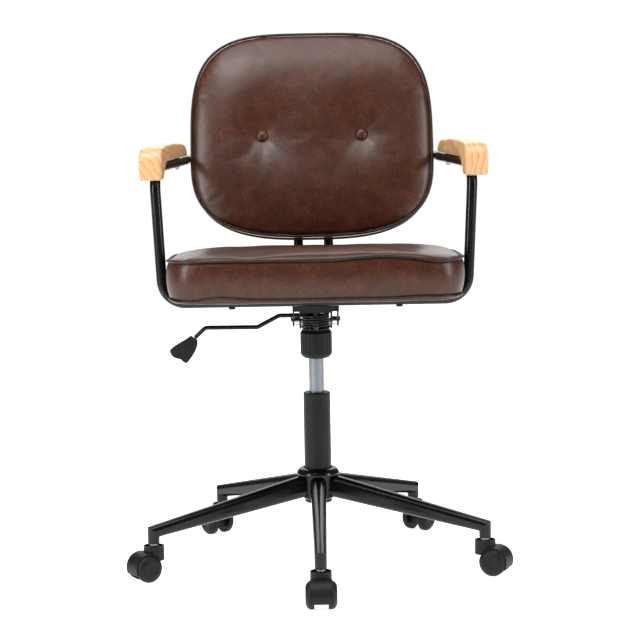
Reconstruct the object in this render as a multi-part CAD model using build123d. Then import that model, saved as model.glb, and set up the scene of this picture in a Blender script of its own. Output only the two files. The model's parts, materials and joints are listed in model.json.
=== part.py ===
from build123d import *
from math import cos, pi, radians, sin, tan
import os

# Swivel office chair, millimetres. Floor at z = 0, lift axis on the Z axis, the sitter faces -Y.

# ---- Driving dimensions -------------------------------------------------------------------
# Star base
leg_angles = (-90, -18, 54, 126, 198)
stub_radius = 318.0
stub_outer_r = 11.0
stub_inner_r = 9.0
stub_bottom_z = 67.0
hub_r = 30.5
hub_bottom_z = 126.0
hub_top_z = 176.0
leg_root_r = 26.0
leg_root_size = (30.0, 43.0)
leg_root_top_z = 172.0
leg_tip_size = (22.0, 24.0)
leg_tip_top_z = 100.4
leg_wall = 1.8

# Gas lift
lift_tube_r = 25.0
lift_tube_wall = 2.0
lift_tube_bottom_z = 119.6
lift_tube_top_z = 322.5
lift_plate_z = 124.0
lift_plate_t = 3.0
cylinder_r = 14.0
cylinder_bottom_z = 205.0
taper_bottom_z = 395.0
cylinder_top_z = 456.0
taper_top_r = 13.2
rod_r = 5.0
piston_z = 262.0
running = 0.08
clear = 0.3

# Twin-wheel casters
caster_trails = (-90, -24, 54, 126, -148)
caster_trail = 20.0
wheel_r = 25.0
wheel_inner_y = 12.5
wheel_outer_y = 27.6
hood_r = 27.5
hood_wall = 1.7
hood_half_w = 19.4
cup_r = 19.0
cup_top_z = 63.0
stem_r = 5.5

# Tilt mechanism
pivot_y = -32.0
pivot_z = 462.0
pivot_r = 5.0
sheet = 3.0
housing_half_w = 30.0
housing_top_z = 489.0
plate_half_w = 42.0
plate_top_z = 521.0
plate_front_y = -108.0
plate_rear_y = 95.0
knob_y = -80.0
knob_r = 28.7
knob_bottom_z = 402.0
knob_top_z = 454.0
spring_r = 22.6
spring_wire_r = 2.1
spring_turns = 5.6
bolt_r = 5.0
socket_r = 19.0
lip_bottom_z = 489.5
lever_z = 468.2
lever_r = 4.0
pin_r = 4.0

# Seat
seat_front_y = -250.0
seat_rear_y = 200.0
seat_w = 524.0
seat_corner_r = 48.0
seat_bottom_z = 523.0
seat_front_top_z = 599.0
seat_crown_z = 612.0
seat_rear_top_z = 577.0
seat_tuck = 26.0
board_inset = 30.0
board_t = 12.0
cover_t = 1.5

# Arms
arm_tube_r = 9.5
arm_tube_wall = 1.6
arm_cross_y = -125.0
arm_foot_x = 272.6
arm_top = (284.6, -112.0, 752.0)
arm_side_point = (243.0, 200.0, 741.0)
arm_rear_point = (241.0, 296.5, 735.0)
arm_end_x = 128.0
arm_foot_bend = 42.0
arm_bend = 45.0
pad_w_front = 42.0
pad_w_rear = 34.0

# Back
recline = 17.5
back_foot = (188.5, 595.5)
back_half_w = 229.5
back_low_h = 150.0
back_high_h = 241.0
back_depth = 51.0
back_crown = 18.0
shell_t = 12.0
back_tube_x = 29.0
back_tube_r = 9.0
button_x = 95.0
button_v = 192.0
button_r = 12.0

# Levels that follow
plate_under_z = plate_top_z - sheet
board_bottom_z = plate_top_z + cover_t
arm_cross_z = plate_top_z - arm_tube_r
spring_bottom_z = knob_top_z + 2.6
spring_top_z = housing_top_z - sheet - 0.4


# ---- Helpers ------------------------------------------------------------------------------
def save(name, shape):
    """Write one node."""
    export_step(shape, f"parts/{name}.step")


def cylinder(radius, low, high, x=0.0, y=0.0):
    """Upright cylinder between two heights."""
    return Pos(x, y, (low + high) / 2) * Cylinder(radius, high - low)


def block(x0, x1, y0, y1, z0, z1):
    """Box between two corners."""
    centre = Pos((x0 + x1) / 2, (y0 + y1) / 2, (z0 + z1) / 2)
    return centre * Box(x1 - x0, y1 - y0, z1 - z0)


def cross_pin(radius, x0, x1, y, z):
    """Cylinder along X."""
    return Pos((x0 + x1) / 2, y, z) * Rot(0, 90, 0) * Cylinder(radius, x1 - x0)


def side_plate(points, x0, x1):
    """Flat plate, outline in (y, z), between two x planes."""
    outline = Plane.YZ.offset(x0) * make_face(Polyline(*points, close=True))
    return extrude(outline, x1 - x0)


def turned(profile):
    """Solid of revolution about Z from a closed (r, z) outline."""
    face = Plane.XZ * make_face(Polyline(*profile, close=True))
    return revolve(face, Axis.Z)


def bent_tube(points, bends, outer_r, wall):
    """Round tube along straight runs joined by bends."""
    path = FilletPolyline(*points, radius=bends)
    ring = Circle(outer_r) - Circle(outer_r - wall)
    start = Plane(origin=path @ 0, z_dir=path % 0)
    return sweep(start * ring, path=path)


def bent_rod(points, bend, radius):
    """Round bar along straight runs joined by bends."""
    path = FilletPolyline(*points, radius=bend)
    start = Plane(origin=path @ 0, z_dir=path % 0)
    return sweep(start * Circle(radius), path=path)


def mirrored(shape):
    """The other side of a left-right pair."""
    return mirror(shape, about=Plane.YZ)


def cut_by(shape, group):
    """Take a group of solids out of a shape."""
    for solid in group.solids():
        shape -= solid
    return shape


# ---- Star base ----------------------------------------------------------------------------
def make_hub():
    """Turned hub with the socket for the lift tube and a small bottom chamfer."""
    chamfer_size = 3.0
    outline = [
        (lift_tube_r + 0.02, hub_bottom_z),
        (hub_r - chamfer_size, hub_bottom_z),
        (hub_r, hub_bottom_z + chamfer_size),
        (hub_r, hub_top_z),
        (lift_tube_r + 0.02, hub_top_z),
    ]
    return turned(outline)


def make_collar():
    """Flared dust collar on the hub, with a gap around the lift tube."""
    rim_r = 39.5
    rim_z = 171.6
    mouth_r = 28.6
    mouth_z = 184.0
    gap_r = lift_tube_r + 1.6
    dome = ThreePointArc((rim_r, rim_z + 2.5), (35.6, 180.4), (mouth_r, mouth_z))
    rest = Polyline(
        (mouth_r, mouth_z),
        (gap_r, mouth_z),
        (gap_r, hub_top_z),
        (hub_r, hub_top_z),
        (hub_r, rim_z),
        (rim_r, rim_z),
        (rim_r, rim_z + 2.5),
    )
    return revolve(Plane.XZ * make_face([dome, rest]), Axis.Z)


def leg_section(r, size, top_z, inset):
    """Oval section of a leg, upright at distance r from the lift axis."""
    width = size[0] - 2 * inset
    height = size[1] - 2 * inset
    place = Plane(origin=(r, 0, top_z - size[1] / 2), x_dir=(0, 1, 0), z_dir=(1, 0, 0))
    return place * RectangleRounded(width, height, width / 2 - 0.4)


def leg_loft(far_r, inset):
    """Tapered oval tube body from the hub out to far_r, along its straight taper."""
    part = (far_r - leg_root_r) / (stub_radius - leg_root_r)
    far_size = [a + (b - a) * part for a, b in zip(leg_root_size, leg_tip_size)]
    far_top = leg_root_top_z + (leg_tip_top_z - leg_root_top_z) * part
    near = leg_section(leg_root_r, leg_root_size, leg_root_top_z, inset)
    far = leg_section(far_r, far_size, far_top, inset)
    return loft([near, far], ruled=True)


def make_leg(angle):
    """Tapered oval leg, mitred over an upright stub that holds the caster sleeve."""
    mitre_r = stub_radius + stub_outer_r + 6
    stub_space = cylinder(stub_outer_r, stub_bottom_z, leg_tip_top_z + 10, x=stub_radius)
    body = leg_loft(stub_radius, 0)
    cap = leg_loft(mitre_r, 0) & stub_space
    stub = cylinder(stub_outer_r, stub_bottom_z, leg_tip_top_z - leg_tip_size[1] / 2, x=stub_radius)
    stub = chamfer(stub.edges().sort_by(Axis.Z)[0], 1.4)
    leg = body + cap + stub
    leg -= leg_loft(stub_radius - stub_outer_r - 6, leg_wall)
    leg -= cylinder(stub_inner_r, stub_bottom_z - 1, stub_bottom_z + 25, x=stub_radius)
    leg -= cylinder(hub_r, 100, 200)
    return Rot(0, 0, angle) * leg


def make_sleeves():
    """Plastic sleeve for the caster stem in each stub."""
    top = stub_bottom_z + 24
    sleeve = cylinder(stub_inner_r, stub_bottom_z, top, x=stub_radius)
    sleeve -= cylinder(stem_r + running, stub_bottom_z - 1, top + 1, x=stub_radius)
    return Compound([Rot(0, 0, a) * sleeve for a in leg_angles])


# ---- Gas lift -----------------------------------------------------------------------------
def make_lift_tube():
    """Outer tube with its end plate and two crimp dimples."""
    inner = lift_tube_r - lift_tube_wall
    tube = cylinder(lift_tube_r, lift_tube_bottom_z, lift_tube_top_z)
    tube -= cylinder(inner, lift_plate_z + lift_plate_t, lift_tube_top_z + 1)
    tube -= cylinder(inner, lift_tube_bottom_z - 1, lift_plate_z)
    tube -= cylinder(rod_r + clear, lift_plate_z - 1, lift_plate_z + lift_plate_t + 1)
    for turn in (-17, 17):
        tube -= Rot(0, 0, -90 + turn) * Pos(lift_tube_r + 0.7, 0, 300) * Sphere(1.7)
    return tube


def make_bushing():
    """Guide bushing in the top of the outer tube, with a thin lip on its rim."""
    inner = cylinder_r + running
    outer = lift_tube_r - lift_tube_wall
    lip_z = lift_tube_top_z + 2.6
    outline = [
        (inner, lift_tube_top_z - 50),
        (outer, lift_tube_top_z - 50),
        (outer, lift_tube_top_z),
        (lift_tube_r - 0.6, lift_tube_top_z),
        (lift_tube_r - 0.6, lip_z - 1),
        (lift_tube_r - 1.8, lip_z),
        (inner, lip_z),
    ]
    return turned(outline)


def make_thrust_bearing():
    """Thrust bearing ring that carries the piston rod's shoulder."""
    low = lift_plate_z + lift_plate_t
    ring = cylinder(14, low, low + 4)
    return ring - cylinder(rod_r + clear, low - 1, low + 5)


def make_clip():
    """Retaining clip under the end plate, set in the rod's groove."""
    clip = cylinder(9, lift_plate_z - 2.2, lift_plate_z - 0.4)
    return clip - cylinder(rod_r + clear, lift_plate_z - 3, lift_plate_z)


def make_piston_rod():
    """Piston rod with its shoulder on the thrust bearing and the piston at its top."""
    shoulder_z = lift_plate_z + lift_plate_t + 4.2
    rod = cylinder(rod_r, lift_plate_z - 3.4, piston_z)
    rod += cylinder(10, shoulder_z, shoulder_z + 4)
    rod += cylinder(cylinder_r - 2 - clear, piston_z, piston_z + 10)
    return rod


def make_cylinder():
    """Lift cylinder with a tapered top end, hollow, with bores for rod and release pin."""
    outline = [
        (rod_r + clear, cylinder_bottom_z),
        (cylinder_r, cylinder_bottom_z),
        (cylinder_r, taper_bottom_z),
        (taper_top_r, cylinder_top_z),
        (pin_r + running, cylinder_top_z),
        (pin_r + running, cylinder_top_z - 11),
        (cylinder_r - 2, cylinder_top_z - 11),
        (cylinder_r - 2, cylinder_bottom_z + 6),
        (rod_r + clear, cylinder_bottom_z + 6),
    ]
    return turned(outline)


def make_release_pin():
    """Valve pin on top of the cylinder, with a domed end."""
    top = lever_z - lever_r - 0.2
    pin = cylinder(pin_r, cylinder_top_z - 7, top)
    return fillet(pin.edges().sort_by(Axis.Z)[-1], 1.8)


# ---- Casters ------------------------------------------------------------------------------
def axle_cylinder(radius, y0, y1):
    """Cylinder on the caster's axle line."""
    return Pos(caster_trail, (y0 + y1) / 2, wheel_r) * Rot(90, 0, 0) * Cylinder(radius, y1 - y0)


def make_hood():
    """Moulded hood: web between the wheels, fender over them and a cup for the stem."""
    width = 2 * hood_half_w
    fender = axle_cylinder(hood_r, -hood_half_w, hood_half_w)
    fender -= axle_cylinder(hood_r - hood_wall, -hood_half_w - 1, hood_half_w + 1)
    web = axle_cylinder(hood_r - hood_wall, -wheel_inner_y + 1, wheel_inner_y - 1)
    cup = cylinder(cup_r, 34, cup_top_z)
    wheel_space = axle_cylinder(wheel_r + 0.8, wheel_inner_y - 0.8, wheel_outer_y + 8)
    wheel_space += axle_cylinder(wheel_r + 0.8, -wheel_outer_y - 8, -wheel_inner_y + 0.8)
    hood = fender + web + (cup - wheel_space)
    hood -= block(-30, 70, -width, width, -5, 13.6)
    stem_side = Pos(caster_trail - 30, 0, 17) * Box(34, 2 * width, 40)
    hood -= stem_side
    hood -= cylinder(cup_r - 2.4, cup_top_z - 3.5, cup_top_z + 1)
    hood += cylinder(9, cup_top_z - 4, cup_top_z - 1)
    hood -= cylinder(stem_r, 40, cup_top_z + 1)
    hood -= axle_cylinder(3.0, -30, 30)
    return hood.solids().sort_by(SortBy.VOLUME)[-1]


def make_caster_pins():
    """Stem with its shoulder ring, and the wheel axle."""
    stem = cylinder(stem_r, 40, stub_bottom_z + 22)
    stem += cylinder(8, cup_top_z - 0.8, stub_bottom_z - 1)
    return Compound([stem, axle_cylinder(3.0, -24, 24)])


def make_wheel(side):
    """Nylon wheel with a crowned outer face and a blind axle bore."""
    face_y = wheel_outer_y
    rim = Polyline((0, wheel_inner_y), (wheel_r, wheel_inner_y), (wheel_r, 20.2))
    crown = ThreePointArc((wheel_r, 20.2), (21.0, 25.2), (9.0, face_y))
    close = Polyline((9.0, face_y), (0, face_y), (0, wheel_inner_y))
    wheel = revolve(Plane.XY * make_face([rim, crown, close]), Axis.Y)
    wheel = Pos(caster_trail, 0, wheel_r) * wheel
    wheel -= axle_cylinder(3.0 + running, wheel_inner_y - 1, 24.4)
    if side < 0:
        wheel = mirror(wheel, about=Plane.XZ)
    return wheel


def caster_place(index):
    """Where a caster stands: on its stub's axis, trailing its own way."""
    at = radians(leg_angles[index])
    spot = Pos(stub_radius * cos(at), stub_radius * sin(at), 0)
    return spot * Rot(0, 0, caster_trails[index])


# ---- Tilt mechanism -----------------------------------------------------------------------
def make_housing():
    """Fixed channel with the taper socket that wedges on the lift cylinder."""
    inner_w = housing_half_w - sheet
    wall = [
        (-102, housing_top_z),
        (-102, 479),
        (-58, 475),
        (-48, 450),
        (30, 446),
        (62, 472),
        (62, housing_top_z),
    ]
    right = side_plate(wall, inner_w, housing_half_w)
    top = block(-housing_half_w, housing_half_w, -102, 62, housing_top_z - sheet, housing_top_z)
    floor = block(-inner_w, inner_w, -22, 28, 448, 448 + sheet)
    socket = cylinder(socket_r, taper_bottom_z - 3, cylinder_top_z + 2)
    housing = top + right + mirrored(right) + floor + socket
    taper = [
        (0, taper_bottom_z - 4),
        (cylinder_r + 0.03, taper_bottom_z - 4),
        (cylinder_r + 0.03, taper_bottom_z),
        (taper_top_r + 0.03, cylinder_top_z),
        (taper_top_r + 0.03, cylinder_top_z + 3),
        (0, cylinder_top_z + 3),
    ]
    housing -= turned(taper)
    housing -= cross_pin(pivot_r, -60, 60, pivot_y, pivot_z)
    housing -= cross_pin(lever_r + 0.7, -60, -10, 0, lever_z)
    slot = Plane.XY.offset(housing_top_z - 10) * Pos(0, knob_y + 4) * SlotOverall(30, 13, rotation=90)
    return housing - extrude(slot, 20)


def make_pivot_pin():
    """Pivot pin with rolled heads and a zinc spacer on each side of the housing."""
    spacer_end = plate_half_w - sheet - 0.3
    pin = cross_pin(pivot_r, -plate_half_w - 1, plate_half_w + 1, pivot_y, pivot_z)
    head = cross_pin(pivot_r + 3, plate_half_w + 0.4, plate_half_w + 3.4, pivot_y, pivot_z)
    head = fillet(head.edges().sort_by(Axis.X)[-1], 1.2)
    pin += head + mirrored(head)
    spacer = cross_pin(8, housing_half_w, spacer_end, pivot_y, pivot_z)
    spacer -= cross_pin(pivot_r, 0, 60, pivot_y, pivot_z)
    return Compound([pin, spacer, mirrored(spacer)])


def seat_bolt_places():
    """Screws that hold the seat plate, the back tubes' plate and the arm tubes to the board."""
    plate = [(x, y) for x in (-68, 68) for y in (-78, 72)]
    rear = [(x, y) for x in (-50, 50) for y in (114, 156)]
    return plate + rear


def make_seat_bolts():
    """Hex screws up into the seat board."""
    bolts = []
    for x, y in seat_bolt_places():
        under = plate_under_z
        head = extrude(Plane.XY.offset(under - 4.5) * Pos(x, y) * RegularPolygon(5.8, 6), 4.5)
        bolts.append(head + cylinder(3.0, under - 1, board_bottom_z + 9, x=x, y=y))
    for side in (-1, 1):
        x = side * 150
        low = arm_cross_z - arm_tube_r
        head = cylinder(6, low - 3, low + 0.8, x=x, y=arm_cross_y)
        bolts.append(head + cylinder(3, low, board_bottom_z + 9, x=x, y=arm_cross_y))
    return Compound(bolts)


def make_seat_plate():
    """Plate under the seat: top sheet, front lip and two flanges that hang on the pivot."""
    top = Plane.XY.offset(plate_under_z) * Pos(0, (plate_front_y + plate_rear_y) / 2)
    top = extrude(top * RectangleRounded(170, plate_rear_y - plate_front_y, 12), sheet)
    lip_rear_y = plate_front_y + sheet
    lip = block(-plate_half_w, plate_half_w, plate_front_y, lip_rear_y, lip_bottom_z, plate_under_z)
    flange = [
        (lip_rear_y, plate_under_z),
        (lip_rear_y, lip_bottom_z),
        (-54, lip_bottom_z),
        (-44, 453),
        (-20, 453),
        (-13, 488),
        (60, 492),
        (84, 508),
        (84, plate_under_z),
    ]
    right = side_plate(flange, plate_half_w - sheet, plate_half_w)
    plate = top + lip + right + mirrored(right)
    plate -= cross_pin(pivot_r + running, -60, 60, pivot_y, pivot_z)
    return cut_by(plate, make_seat_bolts())


def make_tension_bolt():
    """Bolt hung from the seat plate, carrying spring, washer and knob."""
    head = cylinder(9, plate_under_z - 6, plate_under_z, y=knob_y)
    return head + cylinder(bolt_r, knob_bottom_z + 14, plate_under_z - 6, y=knob_y)


def make_spring():
    """Coil spring between the washer and the underside of the housing."""
    height = spring_top_z - spring_bottom_z - 2 * spring_wire_r
    path = Helix(height / spring_turns, height, spring_r)
    wire = Plane(origin=path @ 0, z_dir=path % 0) * Circle(spring_wire_r)
    coil = sweep(wire, path=path, is_frenet=True)
    return Pos(0, knob_y, spring_bottom_z + spring_wire_r) * coil


def make_spring_washer():
    """Steel washer between knob and spring."""
    washer = cylinder(25, knob_top_z + 0.3, knob_top_z + 2.3, y=knob_y)
    return washer - cylinder(bolt_r + clear, knob_top_z - 1, knob_top_z + 3, y=knob_y)


def make_knob():
    """Moulded grip knob with upright ribs, a conical shoulder and a rounded foot."""
    foot = ThreePointArc((15, knob_bottom_z), (25.0, knob_bottom_z + 2.6), (knob_r, knob_bottom_z + 10))
    wall = Polyline(
        (knob_r, knob_bottom_z + 10),
        (knob_r, knob_top_z - 6),
        (24.5, knob_top_z),
        (bolt_r + running, knob_top_z),
        (bolt_r + running, knob_bottom_z + 5),
        (0, knob_bottom_z + 5),
        (0, knob_bottom_z),
        (15, knob_bottom_z),
    )
    knob = revolve(Plane.XZ * make_face([foot, wall]), Axis.Z)
    groove_count = 22
    groove = cylinder(2.0, knob_bottom_z + 8, knob_top_z - 8, x=knob_r + 0.9)
    for i in range(groove_count):
        knob -= Rot(0, 0, 360 * i / groove_count) * groove
    return Pos(0, knob_y, 0) * knob


def make_lever_rod():
    """Bent lever rod from over the release pin out to the paddle."""
    points = [
        (8, 0, lever_z),
        (-67, 0, lever_z),
        (-107, 0, 447.5),
        (-203, 0, 448.0),
        (-222.5, 0, 430.0),
    ]
    return bent_rod(points, 11, lever_r)


def make_paddle():
    """Flat moulded paddle with a necked socket and a scalloped grip end."""
    neck = Line((-230.5, 433.6), (-218.0, 425.2))
    inner = Spline((-218.0, 425.2), (-219.5, 412), (-228, 396), (-236.5, 384.6))
    grip = Spline((-236.5, 384.6), (-243, 384.0), (-250, 390), (-259, 392.5), (-266, 398), (-269.5, 407))
    outer = Spline((-269.5, 407), (-259, 416), (-246, 423.5), (-230.5, 433.6))
    face = make_face([neck, inner, grip, outer])
    paddle = extrude(Plane.XZ.offset(-5.5) * face, 11)
    paddle = fillet(paddle.edges().filter_by(GeomType.BSPLINE), 2.6)
    slot = Plane.XZ.offset(0) * Pos(-246, 404) * SlotOverall(20, 6, rotation=37)
    paddle -= extrude(slot, 3)
    paddle -= Pos(0, -5.5, 0) * extrude(slot, 3)
    paddle -= make_lever_rod()
    return paddle


# ---- Seat ---------------------------------------------------------------------------------
def seat_panel(inset, low, high, corner):
    """Rounded rectangle slab on the seat's outline, set in by an inset."""
    middle = (seat_front_y + seat_rear_y) / 2
    depth = seat_rear_y - seat_front_y - 2 * inset
    outline = Plane.XY.offset(low) * Pos(0, middle) * RectangleRounded(seat_w - 2 * inset, depth, corner)
    return extrude(outline, high - low)


def make_seat_cushion():
    """Box cushion that wraps down round the edge of its board, highest near the front."""
    cushion = seat_panel(0, seat_bottom_z, seat_crown_z + 20, seat_corner_r)
    cushion = chamfer(cushion.edges().group_by(Axis.Z)[0], seat_tuck)
    front = seat_front_y - 1
    rear = seat_rear_y + 1
    above_crown = seat_crown_z + 40
    crown = ThreePointArc((front, seat_front_top_z), (-60, seat_crown_z), (rear, seat_rear_top_z))
    above = Polyline(
        (rear, seat_rear_top_z),
        (rear, above_crown),
        (front, above_crown),
        (front, seat_front_top_z),
    )
    side = Plane.YZ.offset(-seat_w) * make_face([crown, above])
    cushion -= extrude(side, 2 * seat_w)
    return cushion - seat_panel(board_inset - 0.4, seat_bottom_z - 1, board_bottom_z + board_t, 30)


def make_seat_board():
    """Plywood board under the foam."""
    board = seat_panel(board_inset, board_bottom_z, board_bottom_z + board_t - 0.2, 30)
    return cut_by(board, make_seat_bolts())


def make_seat_cover():
    """Thin dust cover under the board."""
    cover = seat_panel(board_inset + 4, plate_top_z, plate_top_z + cover_t, 28)
    return cut_by(cover, make_seat_bolts())


# ---- Arms ---------------------------------------------------------------------------------
def arm_path():
    """Route of the right arm tube: under the seat, up, back along the arm and behind the back."""
    return [
        (0, arm_cross_y, arm_cross_z),
        (arm_foot_x, arm_cross_y, arm_cross_z),
        arm_top,
        arm_side_point,
        arm_rear_point,
        (arm_end_x, arm_rear_point[1], arm_rear_point[2]),
    ]


def arm_line(y):
    """Centre of the arm tube's top run at a given y, as (x, z)."""
    part = (y - arm_top[1]) / (arm_side_point[1] - arm_top[1])
    x = arm_top[0] + (arm_side_point[0] - arm_top[0]) * part
    z = arm_top[2] + (arm_side_point[2] - arm_top[2]) * part
    return x, z


def make_arm_screws():
    """Two dome-head screws up through each arm tube into its wooden cap."""
    screws = []
    for y in (-48, 104):
        x, z = arm_line(y)
        head = cylinder(6.5, z - arm_tube_r - 3, z - arm_tube_r + 1.2, x=x, y=y)
        head = fillet(head.edges().sort_by(Axis.Z)[0], 2.2)
        screw = head + cylinder(2.5, z - arm_tube_r, z + arm_tube_r + 14, x=x, y=y)
        screws += [screw, mirrored(screw)]
    return Compound(screws)


def make_back_screws():
    """Dome-head screws through the arm ends and the back tubes into the back shell."""
    screws = []
    for x in (150, 205):
        screws += through_back(x, arm_rear_point[1], arm_rear_point[2], arm_tube_r)
    for rise in (70, 150):
        y, z = back_tube_point(rise)
        screws += through_back(back_tube_x, y, z, back_tube_r)
    return Compound(screws)


def through_back(x, y, z, tube_r):
    """One screw and its mirror image, square to the back, through a tube centred at (x, y, z)."""
    head = Pos(0, 0, -tube_r - 0.8) * Cylinder(5.5, 3.6)
    shank = Pos(0, 0, 4) * Cylinder(2.5, 2 * tube_r + 8)
    screw = Plane(origin=(x, y, z), x_dir=(1, 0, 0), z_dir=back_plane.z_dir) * (head + shank)
    return [screw, mirrored(screw)]


def make_arm_tube():
    """Right arm tube with its screw holes."""
    tube = bent_tube(arm_path(), [arm_foot_bend, arm_bend, 60, 26], arm_tube_r, arm_tube_wall)
    tube = cut_by(tube, make_arm_screws())
    tube = cut_by(tube, make_back_screws())
    return cut_by(tube, make_seat_bolts())


def make_arm_pad():
    """Right wooden cap: bent over the front corner of the tube, sloping in towards the rear."""
    bend_y = arm_top[1] + arm_bend - 1.5
    bend_z = arm_top[2] - arm_bend - 1
    groove_r = arm_bend + arm_tube_r + 0.8
    front_y = -149.0
    low_z = 733.0
    low_y = bend_y - (groove_r**2 - (low_z - bend_z) ** 2) ** 0.5
    mid = radians(128)
    groove_mid = (bend_y + groove_r * cos(mid), bend_z + groove_r * sin(mid))
    rear_under = (143.0, arm_line(143)[1] + arm_tube_r + 0.6)
    front = Line((front_y + 3, low_z), (front_y, 764))
    shoulder = ThreePointArc((front_y, 764), (-140, 783.5), (-118, 791))
    top = ThreePointArc((-118, 791), (-10, 789.5), (96, 780))
    rear = ThreePointArc((96, 780), (130, 772), (143, 761))
    end = Line((143, 761), rear_under)
    under = Line(rear_under, (bend_y, bend_z + groove_r))
    groove = ThreePointArc((bend_y, bend_z + groove_r), groove_mid, (low_y, low_z))
    foot = Line((low_y, low_z), (front_y + 3, low_z))
    profile = make_face([front, shoulder, top, rear, end, under, groove, foot])
    slab = extrude(Plane.YZ.offset(190) * profile, 140)
    front_x = arm_line(front_y)[0]
    rear_x = arm_line(150)[0]
    outline = Polyline(
        (front_x + 1 - pad_w_front / 2, front_y - 5),
        (front_x + 1 + pad_w_front / 2, front_y - 5),
        (rear_x + pad_w_rear / 2, 150),
        (rear_x - pad_w_rear / 2, 150),
        close=True,
    )
    plan = extrude(Plane.XY.offset(700) * make_face(outline), 120)
    pad = slab & plan
    return cut_by(pad, make_arm_screws())


# ---- Back ---------------------------------------------------------------------------------
back_plane = Plane(
    origin=(0, back_foot[0], back_foot[1]),
    x_dir=(1, 0, 0),
    z_dir=(0, -cos(radians(recline)), sin(radians(recline))),
)


def back_outline(inset, depth):
    """Soft rounded outline of the back: one power curve below the widest line, one above."""
    half_w = back_half_w - inset
    points = []
    steps = 36
    for i in range(steps):
        t = 2 * pi * (i + 0.5) / steps
        power = 3.2 if sin(t) > 0 else 2.87
        rise = (back_high_h if sin(t) > 0 else back_low_h) - inset
        u = half_w * abs(cos(t)) ** (2 / power) * (1 if cos(t) > 0 else -1)
        v = back_low_h + rise * abs(sin(t)) ** (2 / power) * (1 if sin(t) > 0 else -1)
        points.append((u, v))
    return back_plane.offset(depth) * make_face(Spline(*points, periodic=True))


def make_back_cushion():
    """Crowned back pad with a recess for each button."""
    pad = extrude(back_outline(0, shell_t - back_depth), back_depth - shell_t)
    pad += loft([back_outline(0, 0), back_outline(26, back_crown)], ruled=True)
    for x in (-button_x, button_x):
        recess = back_plane * Pos(x, button_v, back_crown) * Cylinder(button_r + 3, 22)
        pad -= recess
    return pad


def make_back_shell():
    """Stiff rear panel of the back."""
    shell = extrude(back_outline(4, -back_depth), shell_t - 0.2)
    return cut_by(shell, make_back_screws())


def make_buttons():
    """Two covered tufting buttons at the bottom of their recesses."""
    buttons = []
    for x in (-button_x, button_x):
        dome = back_plane * Pos(x, button_v, back_crown - 7.6) * Cylinder(button_r, 6.4)
        rim = dome.edges().sort_by(Axis.Y)[0]
        buttons.append(fillet(rim, 3.0))
    return Compound(buttons)


def back_tube_point(rise):
    """Centre of a back tube at a height along the back, as (y, z)."""
    point = back_plane.from_local_coords((0, rise, -back_depth - back_tube_r - 0.1))
    return point.Y, point.Z


def make_back_tubes():
    """Pair of bent tubes from under the seat up behind the back."""
    run_z = plate_under_z - back_tube_r
    foot_y, foot_z = back_tube_point(0)
    knee_y = foot_y - (foot_z - run_z) * tan(radians(recline))
    top_y, top_z = back_tube_point(188)
    points = [
        (back_tube_x, 104, run_z),
        (back_tube_x, knee_y, run_z),
        (back_tube_x, top_y, top_z),
    ]
    right = bent_tube(points, 40, back_tube_r, 1.8)
    return cut_by(Compound([right, mirrored(right)]), make_back_screws())


def make_back_mount():
    """Flat plate under the seat board that the back tubes are welded to."""
    plate = Plane.XY.offset(plate_under_z) * Pos(0, 135) * RectangleRounded(126, 66, 8)
    return cut_by(extrude(plate, sheet), make_seat_bolts())


# ---- Build --------------------------------------------------------------------------------
os.makedirs("parts", exist_ok=True)

save("base_hub", make_hub())
save("hub_collar", make_collar())
for i, leg_angle in enumerate(leg_angles):
    save(f"base_leg_{i + 1}", make_leg(leg_angle))
save("caster_sleeves", make_sleeves())
save("lift_outer_tube", make_lift_tube())
save("lift_bushing", make_bushing())
save("lift_thrust_bearing", make_thrust_bearing())
save("lift_clip", make_clip())
save("lift_piston_rod", make_piston_rod())
save("lift_cylinder", make_cylinder())
save("release_pin", make_release_pin())

hood = make_hood()
pins = make_caster_pins()
wheel_a = make_wheel(1)
wheel_b = make_wheel(-1)
for i in range(len(leg_angles)):
    place = caster_place(i)
    save(f"caster_hood_{i + 1}", place * hood)
    save(f"caster_pins_{i + 1}", place * pins)
    save(f"caster_wheel_{i + 1}_a", place * wheel_a)
    save(f"caster_wheel_{i + 1}_b", place * wheel_b)

save("tilt_housing", make_housing())
save("pivot_pin", make_pivot_pin())
save("lever_rod", make_lever_rod())
save("lever_paddle", make_paddle())
save("seat_plate", make_seat_plate())
save("tension_bolt", make_tension_bolt())
save("tension_spring", make_spring())
save("spring_washer", make_spring_washer())
save("tension_knob", make_knob())

save("seat_board", make_seat_board())
save("seat_cover", make_seat_cover())
save("seat_cushion", make_seat_cushion())
save("seat_bolts", make_seat_bolts())

arm_tube = make_arm_tube()
arm_pad = make_arm_pad()
save("arm_tube_right", arm_tube)
save("arm_tube_left", mirrored(arm_tube))
save("arm_pad_right", arm_pad)
save("arm_pad_left", mirrored(arm_pad))
save("arm_screws", make_arm_screws())

save("back_tubes", make_back_tubes())
save("back_mount_plate", make_back_mount())
save("back_shell", make_back_shell())
save("back_cushion", make_back_cushion())
save("back_buttons", make_buttons())
save("back_screws", make_back_screws())
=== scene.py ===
import json
from math import cos, exp, pi, radians, sin, sqrt
import bpy
from mathutils import Matrix, Vector, noise


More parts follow.
